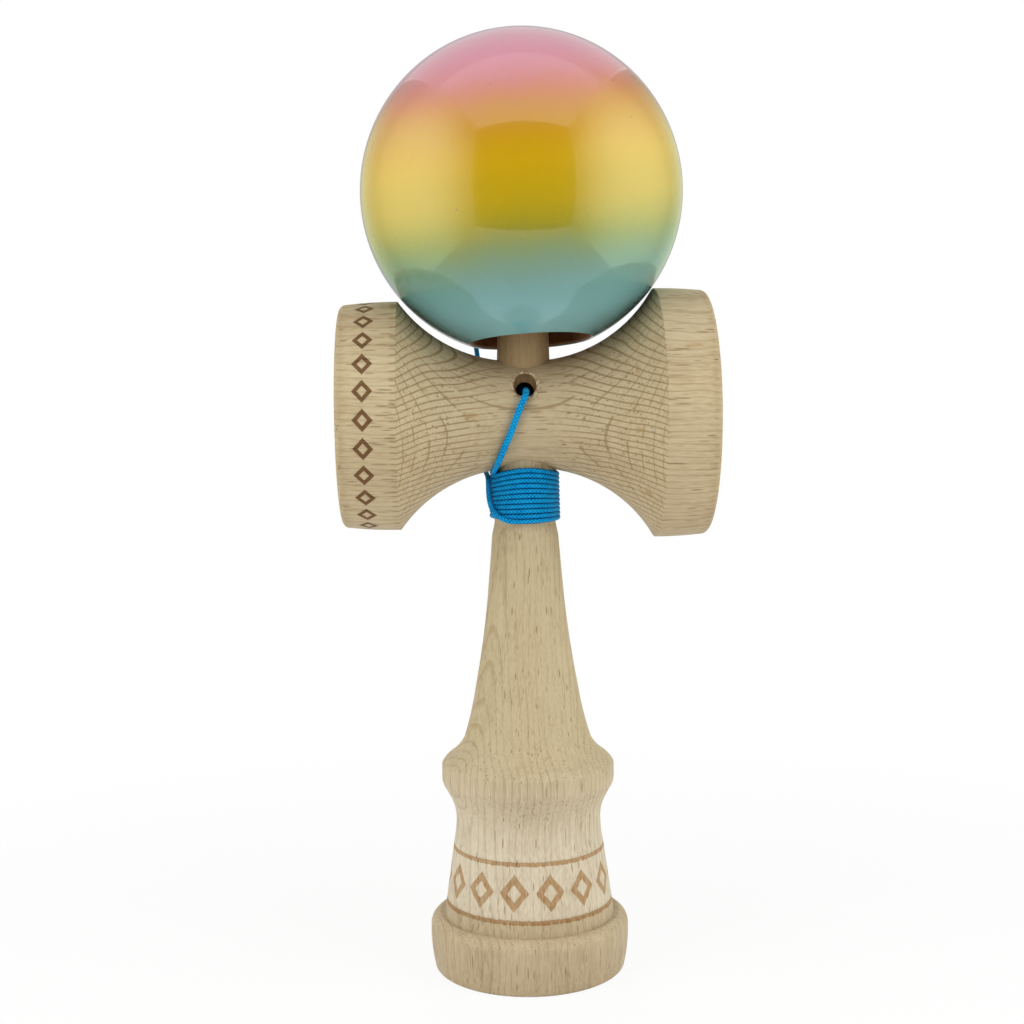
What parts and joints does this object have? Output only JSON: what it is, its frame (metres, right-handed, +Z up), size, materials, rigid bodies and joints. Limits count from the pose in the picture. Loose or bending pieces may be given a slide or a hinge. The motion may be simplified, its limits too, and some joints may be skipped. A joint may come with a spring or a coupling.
{
  "type": "kendama",
  "caption": "Wooden cup-and-ball toy: a turned handle with a spike, a pair of cross cups, a bored ball on the spike and a string wound round the neck.",
  "frame": {"origin": "middle of the handle's foot, on the surface it stands on", "axes": "+Z up the handle to the ball, +X towards the big cup, -Y towards the string hole"},
  "size_m": [0.0684, 0.06, 0.1785],
  "materials": {
    "beech": "bare, fine sanded",
    "lacquered_ball": "gloss lacquer that fades from pink through orange and yellow to teal",
    "string": "braided nylon",
    "bead_wood": "bare"
  },
  "bodies": {
    "ken": {"ken": "beech", "cross_cups": "beech", "cups_end_knot": "string", "string_front_stretch": "string", "string_winding": "string", "string_back_stretch": "string"},
    "bead": {"string_bead": "bead_wood", "ball_end_knot": "string", "string_tail": "string"},
    "ball": {"ball": "lacquered_ball"}
  },
  "joints": [
    {"name": "ball_lift", "type": "slide", "parent": "ken", "child": "bead", "axis": [0, 0, 1], "range_m": [0, 0.04], "deforming": ["string_back_stretch"]},
    {"name": "ball_spin", "type": "hinge", "parent": "bead", "child": "ball", "pos_m": [0, 0, 0.14759], "axis": [-0.0485, 0.1132, 0.9924], "continuous": true}
  ]
}
